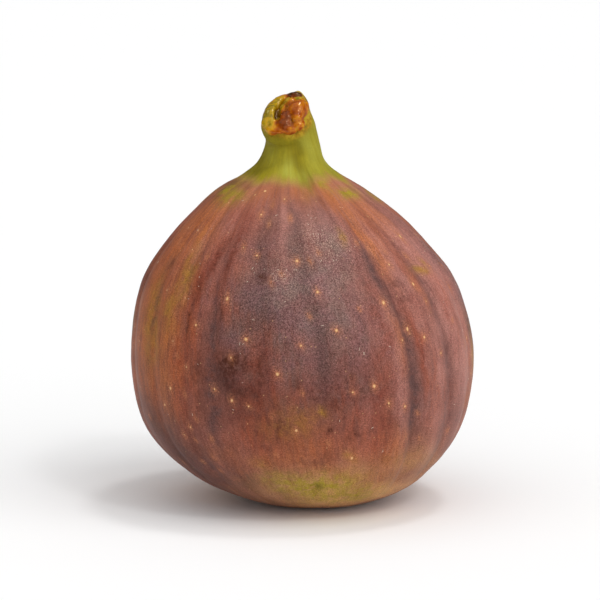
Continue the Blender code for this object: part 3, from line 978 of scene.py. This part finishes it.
    # the snapped end under its dried sap
    snapped = ragged(tree, shade(tree, "snapped"), patterns["blotches"], 0.5)
    colour = blend(tree, snapped, colour, ramp(tree, patterns["blotches"], (
        (0.32, colours["sapDark"]),
        (0.42, colours["sapAmber"]),
        (0.54, colours["sapGold"]),
        (0.66, colours["sapOlive"]),
    )))

    plug(tree, shader.inputs["Base Color"], colour)
    rough = timesPlus(tree, neck, look["neckRoughness"], look["roughness"])
    rough = timesPlus(tree, speckle, 0.25, rough)
    rough = timesPlus(tree, snapped, -0.25, rough)
    plug(tree, shader.inputs["Roughness"], rough)
    shader.inputs["Specular IOR Level"].default_value = 0.14
    shader.inputs["Specular Tint"].default_value = (1.0, 0.80, 0.65, 1.0)

    height = timesPlus(tree, speckle, 0.7, times(tree, patterns["fineStreaks"], 0.7))
    addBump(tree, shader, height, look["bumpStrength"], look["bumpDepth"])
    return material


def joinPieces(pieces, name):
    selectOnly(pieces[0])
    for piece in pieces[1:]:
        piece.select_set(True)
    bpy.ops.object.join()
    pieces[0].name = pieces[0].data.name = name
    return pieces[0]


def copyInto(piece, matrix):
    # a copy with its own mesh, put in place inside that mesh
    mesh = piece.data.copy()
    mesh.transform(matrix)
    made = bpy.data.objects.new(piece.name, mesh)
    bpy.context.scene.collection.objects.link(made)
    return made


def standOn(point, outward, sizes):
    # the matrix that stands a shape on the skin, its Y along the rib
    side = Vector((0, 0, 1)).cross(outward).normalized()
    up = outward.cross(side)
    axes = Matrix((side, up, outward)).transposed().to_4x4()
    return Matrix.Translation(point) @ axes @ Matrix.Diagonal((*sizes, 1))


lenticels = {
    "proud": 0.07,  # height as a share of the width
    "sunk": 0.02 * mm,
    "haloShare": 0.45,  # reach of the ring as a share of the width
    "haloRim": 0.25,  # and mm more
    "placed": (  # rib azimuth, height in mm, width in mm, length as a share of the width
        (-18, 27, 0.75, 1),
        (-8, 22, 0.75, 1.1),
        (3, 36.5, 0.7, 1),
        (9.5, 33, 0.6, 1.1),
        (13, 28, 0.65, 1.1),
        (33, 31, 0.75, 1.2),
        (23.5, 20.5, 0.7, 1.2),
        (-25, 31.5, 0.6, 1.6),
        (-14.5, 37.5, 0.45, 1.1),
        (-37.5, 28, 0.55, 1),
        (-24.5, 18.5, 0.6, 1.2),
        (-4.5, 14.5, 0.6, 1.1),
        (0, 26, 0.45, 1),
        (16, 19.5, 0.5, 0.9),
        (28.5, 17.5, 0.5, 1.3),
        (45, 26, 0.55, 1.2),
        (50, 33, 0.55, 1.6),
        (65, 38.5, 0.6, 1.8),
        (40, 27.5, 0.55, 1.7),
        (-20, 45, 0.6, 1.2),
        (-49, 19, 0.6, 1.2),
        (-43, 14, 0.45, 1.2),
        (-19, 17.5, 0.45, 1),
        (14, 10, 0.6, 1.3),
    ),
    "inAll": 210,  # those not placed are scattered
    "mostTries": 4000,
    "widths": (0.20, 0.50),  # in mm, as the heights are
    "heights": (7.0, 45.5),
    "apart": 2.0,  # mm between a scattered one and any other
    "seed": 5,
}


def scatterLenticels():
    draw = random.Random(lenticels["seed"])
    girth = ribs["girth"] / mm
    spots = [list(spot) for spot in lenticels["placed"]]
    tries = 0
    while len(spots) < lenticels["inAll"] and tries < lenticels["mostTries"]:
        tries += 1
        rib, height = draw.uniform(-180, 180), draw.uniform(*lenticels["heights"])
        width = draw.triangular(*lenticels["widths"], lenticels["widths"][0])
        stretch = draw.uniform(1.0, 1.6)
        near = math.inf
        for otherRib, otherHeight, _, _ in spots:
            turn = math.radians(wrapped(rib - otherRib))
            near = min(near, math.hypot(turn * girth, height - otherHeight))
        if near > lenticels["apart"]:
            spots.append([rib, height, width, stretch])
    return spots


def nearestPoint(places, spotRib, spotHeight):
    rib, height, radius = places
    across = np.radians(wrapped(rib - spotRib)) * radius
    return int(np.argmin(np.hypot(across, height - spotHeight)))


def seatLenticels(places):
    # each one sits on the nearest point of the skin: its number, rib azimuth, height and sizes
    rib, height, _ = places
    seats = []
    for spotRib, spotHeight, width, stretch in scatterLenticels():
        index = nearestPoint(places, spotRib, spotHeight)
        seats.append((index, rib[index], height[index], width, stretch))
    return seats


hairs = {
    "tufts": (  # rib azimuth and height in mm, spread in mm, how many
        (-2, 35.3, 1.5, 9),
        (-12, 35.6, 0.8, 4),
        (-19, 25.6, 0.8, 3),
        (15, 40.2, 1.4, 7),
        (19, 36.6, 1, 5),
        (22, 25, 1.2, 3),
        (33, 38.5, 1, 3),
        (-40, 33, 1.4, 4),
    ),
    "flatness": 0.6,  # height of a tuft as a share of its spread
    "scattered": 60,
    "heights": (10.0, 44.0),
    "lengths": (0.15, 0.55),  # in mm
    "thickness": 0.05 * mm,
    "colour": (0.720, 0.600, 0.460),
    "seed": 9,
}


def scatterHairs():
    draw = random.Random(hairs["seed"])
    girth = ribs["girth"] / mm
    spots = []
    for rib, height, reach, count in hairs["tufts"]:
        for _ in range(count):
            turn = math.degrees(draw.gauss(0, reach) / girth)
            spots.append((rib + turn, height + draw.gauss(0, reach * hairs["flatness"])))
    for _ in range(hairs["scattered"]):
        spots.append((draw.uniform(-180, 180), draw.uniform(*hairs["heights"])))
    return [(*spot, draw.uniform(*hairs["lengths"]), draw.uniform(0, math.pi)) for spot in spots]


def makeFineHairs(skinPiece, places):
    bpy.ops.mesh.primitive_uv_sphere_add(segments=6, ring_count=4, radius=0.5)
    sliver = bpy.context.object
    bpy.ops.object.shade_smooth()
    skinPoints, skinNormals = readPoints(skinPiece.data), readNormals(skinPiece.data)
    made = []
    for rib, height, length, turn in scatterHairs():
        index = nearestPoint(places, rib, height)
        flat = standOn(Vector(skinPoints[index]), Vector(skinNormals[index]), (1, 1, 1))
        sizes = Matrix.Diagonal((hairs["thickness"], length * mm, hairs["thickness"], 1))
        made.append(copyInto(sliver, flat @ Matrix.Rotation(turn, 4, "Z") @ sizes))
    bpy.data.objects.remove(sliver)
    piece = joinPieces(made, "fineHairs")
    material, _, shader = newFinish("fineHairsFinish")
    shader.inputs["Base Color"].default_value = (*hairs["colour"], 1.0)
    shader.inputs["Roughness"].default_value = 0.5
    piece.data.materials.append(material)
    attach(piece, "root")


def makeLenticels(skinPiece, line, seats):
    bpy.ops.mesh.primitive_uv_sphere_add(segments=10, ring_count=8, radius=0.5)
    dome = bpy.context.object
    editMesh(dome)
    bpy.ops.mesh.bisect(plane_co=(0, 0, 0), plane_no=(0, 0, 1), clear_inner=True)
    leaveEdit()
    points = readPoints(dome.data)
    rise = 1 - np.hypot(points[:, 0], points[:, 1]) ** 2 * 4
    points[:, 2] = lenticels["proud"] * rise
    writePoints(dome.data, points)
    writeShade(dome.data, "cork", np.clip(rise, 0, 1))
    bpy.ops.object.shade_smooth()

    skinPoints, skinNormals = readPoints(skinPiece.data), readNormals(skinPiece.data)
    shades = {name: np.zeros(len(skinPoints), np.float32) for name in ("grooveShade", "crownLight", "snapped")}
    for name, values in shades.items():
        skinPiece.data.attributes[name].data.foreach_get("value", values)
    made = []
    for index, _, _, width, stretch in seats:
        outward = Vector(skinNormals[index])
        point = Vector(skinPoints[index]) - outward * lenticels["sunk"]
        size = width * mm
        copied = copyInto(dome, standOn(point, outward, (size, size * stretch, size)))
        for name, values in shades.items():
            writeShade(copied.data, name, np.full(len(points), values[index]))
        made.append(copied)
    bpy.data.objects.remove(dome)
    piece = joinPieces(made, "lenticels")
    paintSkin(piece.data, skinPlaces(readPoints(piece.data), line), seats)
    piece.data.materials.append(skinPiece.data.materials[0])
    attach(piece, "root")


sap = {
    "lobes": (  # right, uphill and up on the end, half width, length and thickness, in mm; tone
        (0, -0.8, -0.6, 3.15, 4, 0.85, 0.52),
        (1.85, -0.7, -0.05, 1.45, 1.7, 1.2, 0.42),
        (2.1, -0.2, 0.2, 1, 1.2, 0.9, 0.46),
        (0.9, 0.4, 0.05, 0.8, 1.1, 0.85, 0.64),
        (0.75, -2.1, 0, 0.95, 1.1, 0.75, 0.26),
        (2.4, -2.1, 0, 0.8, 0.9, 0.75, 0.5),
        (1.5, 1.2, -0.45, 1.1, 0.9, 0.75, 0.95),
        (-1.6, -1.5, -0.15, 1.15, 2.2, 0.85, 0.9),
        (-1.2, 0.8, -0.35, 1.2, 1.5, 0.65, 0.84),
        (-1.9, -2.9, -0.4, 0.85, 1.1, 0.8, 0.8),
        (-0.85, -0.2, -0.25, 0.65, 1.4, 0.65, 0.82),
        (0.6, -3.2, -0.45, 1.2, 1, 0.85, 0.2),
        (1.4, -3.7, -0.85, 1.2, 0.8, 0.75, 0.42),
        (-0.8, -3.9, -0.9, 1.2, 0.8, 0.75, 0.6),
        (2.5, -2.7, -0.75, 1, 1.1, 0.8, 0.7),
        (0.8, 2.4, -0.25, 1, 0.85, 0.95, 0.02),
        (2.7, -0.1, -0.45, 0.6, 1.6, 0.8, 0.9),
    ),
    "cleft": ((-0.25, 1.6), (-0.45, -2.4)),  # right and uphill of its ends, in mm
    "cleftWidth": 0.30,  # half of it, in mm
    "cleftBend": 0.35,
    "cleftDepth": 0.75 * mm,
    "voxel": 0.12 * mm,
    "smoothing": 6,
    "wrinkle": 0.05 * mm,
    "wrinkleSize": 0.9 * mm,
    "headroom": 0.9 * mm,  # the part under the top in which the sap is pressed together
    "toneReach": 0.7,  # how far a lobe's tone reaches, as a share of its size
    "creaseRounds": 20,
    "creaseDepth": 0.15 * mm,  # depth that counts as a full crease
    "rim": (0.55, 0.20),  # how far outward the sap faces where its dull rim starts and is full
}


def cleftShade(rights, uphills):
    (startRight, startUphill), (endRight, endUphill) = sap["cleft"]
    share = np.clip((uphills - startUphill) / (endUphill - startUphill), 0, 1)
    bend = sap["cleftBend"] * np.sin(share * math.pi)
    across = rights - (startRight + share * (endRight - startRight) - bend)
    beyond = np.abs(uphills - (startUphill + share * (endUphill - startUphill)))
    return bell(np.hypot(across, beyond), sap["cleftWidth"])


def makeDriedSap():
    right, uphill, outward = endAxes()
    axes = Matrix((right, uphill, outward)).transposed().to_4x4()
    made = []
    for across, along, lift, halfWidth, halfLength, thickness, _ in sap["lobes"]:
        bpy.ops.mesh.primitive_ico_sphere_add(subdivisions=4, radius=mm)
        lobe = bpy.context.object
        point = stalkEnd["middle"] + (right * across + uphill * along + outward * lift) * mm
        sizes = Matrix.Diagonal((halfWidth, halfLength, thickness, 1))
        lobe.data.transform(Matrix.Translation(point) @ axes @ sizes)
        made.append(lobe)
    piece = joinPieces(made, "driedSap")
    applyModifier(piece, "REMESH", mode="VOXEL", voxel_size=sap["voxel"])
    applyModifier(piece, "SMOOTH", factor=0.5, iterations=sap["smoothing"])

    points, normals = readPoints(piece.data), readNormals(piece.data)
    rights, uphills, _ = [away / mm for away in endPlaces(points)]
    weights, tones = np.full(len(points), 1e-6), np.zeros(len(points))
    for across, along, lift, halfWidth, halfLength, thickness, tone in sap["lobes"]:
        nearness = np.hypot((rights - across) / halfWidth, (uphills - along) / halfLength)
        weight = (thickness + lift) ** 2 * bell(nearness, sap["toneReach"])
        weights += weight
        tones += weight * tone
    cleft = cleftShade(rights, uphills)
    wrinkle = 1 - np.abs(noiseOver(points, sap["wrinkleSize"])) * 2
    relief = -sap["wrinkle"] * wrinkle**2 - sap["cleftDepth"] * cleft
    points += normals * relief[:, None]
    ceiling = highCorner.z - sap["headroom"]
    above = np.maximum(points[:, 2] - ceiling, 0)
    points[:, 2] -= above - sap["headroom"] * np.tanh(above / sap["headroom"])
    writePoints(piece.data, points)
    writeShade(piece.data, "tone", tones / weights)
    # painted shade in the creases and along the cleft, where the sap is also darker
    creaseShade = cavityOf(piece.data, points, sap["creaseRounds"]) / sap["creaseDepth"]
    writeShade(piece.data, "creaseShade", np.maximum(np.clip(creaseShade, 0, 1), cleft))
    writeShade(piece.data, "rim", step(*sap["rim"], normals @ np.array(outward)))
    bpy.ops.object.shade_smooth()
    piece.data.materials.append(sapFinish())
    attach(piece, "root")


def sapFinish():
    material, tree, shader = newFinish("driedSapFinish")
    coords = tree.nodes.new("ShaderNodeTexCoord").outputs["Object"]
    tone = shade(tree, "tone")
    clouds = grain(tree, coords, 0.9 * mm, 3, 0.6)
    flecks = grain(tree, coords, 0.3 * mm, 2, 0.6)
    tone = maths(tree, "ADD", tone, times(tree, maths(tree, "SUBTRACT", clouds, 0.5), 0.7))
    colour = ramp(tree, tone, (
        (0.00, (0.050, 0.020, 0.002)),
        (0.20, (0.110, 0.014, 0.000)),
        (0.38, (0.260, 0.045, 0.000)),
        (0.50, (0.410, 0.105, 0.000)),
        (0.66, (0.560, 0.260, 0.004)),
        (0.80, (0.390, 0.250, 0.004)),
        (0.90, (0.190, 0.130, 0.001)),
        (1.00, (0.480, 0.400, 0.090)),
    ))
    # painted shade in the creases and the cleft, over sap that is darker there
    creaseShade = times(tree, shade(tree, "creaseShade"), 0.9)
    colour = blend(tree, creaseShade, colour, (0.065, 0.020, 0.000))
    plug(tree, shader.inputs["Base Color"], colour)
    rough = timesPlus(tree, flecks, 0.20, 0.04)
    rough = timesPlus(tree, shade(tree, "rim"), 0.6, rough)
    plug(tree, shader.inputs["Roughness"], rough)
    shader.inputs["Specular IOR Level"].default_value = 0.60
    shader.inputs["Specular Tint"].default_value = (1.0, 0.70, 0.45, 1.0)
    shader.inputs["Subsurface Weight"].default_value = 0.2
    shader.inputs["Subsurface Radius"].default_value = (1.0, 0.4, 0.1)
    shader.inputs["Subsurface Scale"].default_value = 0.5 * mm
    addBump(tree, shader, timesPlus(tree, flecks, 0.2, clouds), 0.15, 0.10 * mm)
    return material


# The eye underneath, closed by small scales
eye = {
    "middle": (1.99 * mm, -0.10 * mm),
    "rings": (  # number of scales; radius of roots and of tips, height of roots and of tips, in mm
        (9, 2.75, 1.05, 0.33, 0.68),
        (7, 2, 0.45, 0.58, 0.78),
        (4, 1.1, 0.05, 0.72, 0.86),
    ),
    "width": 1.15,  # of a scale, as a share of the room it has on its ring
    "turns": (-0.12, 0.12),  # how unevenly the scales are set, as a share of that room
    "tips": (-0.1, 0.15),  # how much further out the tips are, in mm
    "widths": (0.9, 1.1),
    "thickness": 0.18 * mm,
    "seed": 3,
}


def makeScale():
    # one scale of length and width 1, its root at the origin and its tip on X
    bpy.ops.mesh.primitive_grid_add(x_subdivisions=6, y_subdivisions=4, size=1)
    scale = bpy.context.object
    editMesh(scale)
    bpy.ops.transform.translate(value=(0.5, 0, 0))
    leaveEdit()
    for vertex in scale.data.vertices:  # rounded at the tip and hollow like a spoon
        reach = vertex.co.x
        vertex.co.y *= math.sqrt(max(1 - reach**3, 0.02)) * (0.75 + 0.5 * reach * (1 - reach))
        vertex.co.z = 0.30 * (0.25 - vertex.co.y**2) + 0.1 * reach * (1 - reach)
    applyModifier(scale, "SUBSURF", levels=1, render_levels=1)
    points = readPoints(scale.data)
    writeShade(scale.data, "margin", np.clip(points[:, 0] ** 2 + 2.5 * points[:, 1] ** 2, 0, 1))
    return scale


def makeEyeScales():
    scale = makeScale()
    draw = random.Random(eye["seed"])
    made = []
    for ring, (count, rootRadius, tipRadius, rootHeight, tipHeight) in enumerate(eye["rings"]):
        for index in range(count):
            angle = math.tau * (index + 0.5 * ring + draw.uniform(*eye["turns"])) / count
            outward = Vector((math.cos(angle), math.sin(angle), 0))
            root = outward * rootRadius + Vector((0, 0, rootHeight))
            tip = outward * (tipRadius + draw.uniform(*eye["tips"])) + Vector((0, 0, tipHeight))
            width = eye["width"] * math.tau * rootRadius / count * draw.uniform(*eye["widths"])
            lengthwise = tip - root
            across = lengthwise.cross(Vector((0, 0, 1))).normalized()
            face = lengthwise.cross(across).normalized()  # scales face down, out of the eye
            axes = Matrix((lengthwise.normalized(), across, face)).transposed().to_4x4()
            sizes = Matrix.Diagonal((lengthwise.length, width, lengthwise.length, 1))
            place = Matrix.Translation((*eye["middle"], 0)) @ Matrix.Scale(mm, 4)
            made.append(copyInto(scale, place @ Matrix.Translation(root) @ axes @ sizes))
    bpy.data.objects.remove(scale)
    piece = joinPieces(made, "eyeScales")
    applyModifier(piece, "SOLIDIFY", thickness=eye["thickness"], offset=0.0)
    editMesh(piece)
    bpy.ops.mesh.normals_make_consistent(inside=False)
    leaveEdit()
    bpy.ops.object.shade_smooth()
    piece.data.materials.append(scaleFinish())
    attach(piece, "root")


def scaleFinish():
    material, tree, shader = newFinish("eyeScaleFinish")
    coords = tree.nodes.new("ShaderNodeTexCoord").outputs["Object"]
    mottle = grain(tree, coords, 0.35 * mm, 3, 0.6)
    margin = times(tree, shade(tree, "margin"), 0.7)
    tone = timesPlus(tree, mottle, 0.4, margin)
    colour = ramp(tree, tone, (
        (0.20, (0.250, 0.075, 0.036)),
        (0.45, (0.340, 0.130, 0.060)),
        (0.70, (0.150, 0.042, 0.022)),
        (0.90, (0.045, 0.014, 0.009)),
    ))
    plug(tree, shader.inputs["Base Color"], colour)
    plug(tree, shader.inputs["Roughness"], timesPlus(tree, mottle, 0.3, 0.4))
    addBump(tree, shader, mottle, 0.4, 0.06 * mm)
    return material


studio = {
    "floorRadius": 3.0,
    "floorShade": 0.93,
    "backdropShade": 0.99,  # what is seen behind the fig
    "skyShade": 0.40,  # what lights it from all round
    "mirroredShade": 0.12,  # what shiny places mirror
    "lights": (  # azimuth, elevation, softness in degrees, strength
        (54, 38, 60, 1.2),
        (-30, 72, 80, 0.84),
        (8, 3, 60, 0.7),
        (100, 76, 9, 0.4),  # smaller and sharper, for the glints on the sap
        (36, 46, 8, 0.28),
    ),
}
shot = {
    "elevation": 9.0,
    "distance": 0.45,
    "width": 84.3 * mm,  # of what is seen at that distance
    "aim": (-0.25 * mm, 0.0, 28.45 * mm),
    "sensor": 36.0,
}


def makeFloor():
    bpy.ops.mesh.primitive_circle_add(vertices=96, radius=studio["floorRadius"], fill_type="NGON")
    floor = bpy.context.object
    floor.name = "floor"
    material, _, shader = newFinish("paleFloor")
    grey = studio["floorShade"]
    shader.inputs["Base Color"].default_value = (grey, grey, grey, 1)
    shader.inputs["Roughness"].default_value = 0.9
    shader.inputs["Specular IOR Level"].default_value = 0.1
    floor.data.materials.append(material)
    floor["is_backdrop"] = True


def makeLight():
    world = bpy.data.worlds.new("studio")
    world.use_nodes = True
    tree = world.node_tree
    path = tree.nodes.new("ShaderNodeLightPath").outputs
    grey = blend(tree, path["Is Glossy Ray"], (studio["skyShade"],) * 3, (studio["mirroredShade"],) * 3)
    grey = blend(tree, path["Is Camera Ray"], grey, (studio["backdropShade"],) * 3)
    plug(tree, tree.nodes["Background"].inputs["Color"], grey)
    bpy.context.scene.world = world
    for number, (azimuth, elevation, softness, strength) in enumerate(studio["lights"]):
        light = bpy.data.lights.new(f"softLight{number}", "SUN")
        light.energy = strength
        light.angle = math.radians(softness)
        lamp = bpy.data.objects.new(light.name, light)
        bpy.context.scene.collection.objects.link(lamp)
        lift = math.radians(elevation)
        towards = -sideways(azimuth) * math.cos(lift) - Vector((0, 0, math.sin(lift)))
        lamp.rotation_euler = towards.to_track_quat("-Z", "Y").to_euler()


def makeCamera():
    camera = bpy.data.cameras.new("camera")
    camera.sensor_width = shot["sensor"]
    camera.lens = shot["sensor"] * shot["distance"] / shot["width"]
    camera.clip_start = 0.01
    piece = bpy.data.objects.new("camera", camera)
    bpy.context.scene.collection.objects.link(piece)
    lift = math.radians(shot["elevation"])
    away = Vector((0, -math.cos(lift), math.sin(lift)))
    piece.location = Vector(shot["aim"]) + away * shot["distance"]
    piece.rotation_euler = (-away).to_track_quat("-Z", "Y").to_euler()
    bpy.context.scene.camera = piece
    bpy.context.scene.view_settings.view_transform = "Standard"


makeCamera()
makeFloor()
makeLight()
print("stage ready")
figSkin, figLine, lenticelSeats = makeFigSkin()
print("skin ready")
makeLenticels(figSkin, figLine, lenticelSeats)
makeFineHairs(figSkin, skinPlaces(readPoints(figSkin.data), figLine))
makeDriedSap()
makeEyeScales()
print("lenticels, hairs, sap and eye ready")

boxes = {"cad": cadBox, "visual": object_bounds()}
{name: [list(corner) for corner in box] for name, box in boxes.items()}
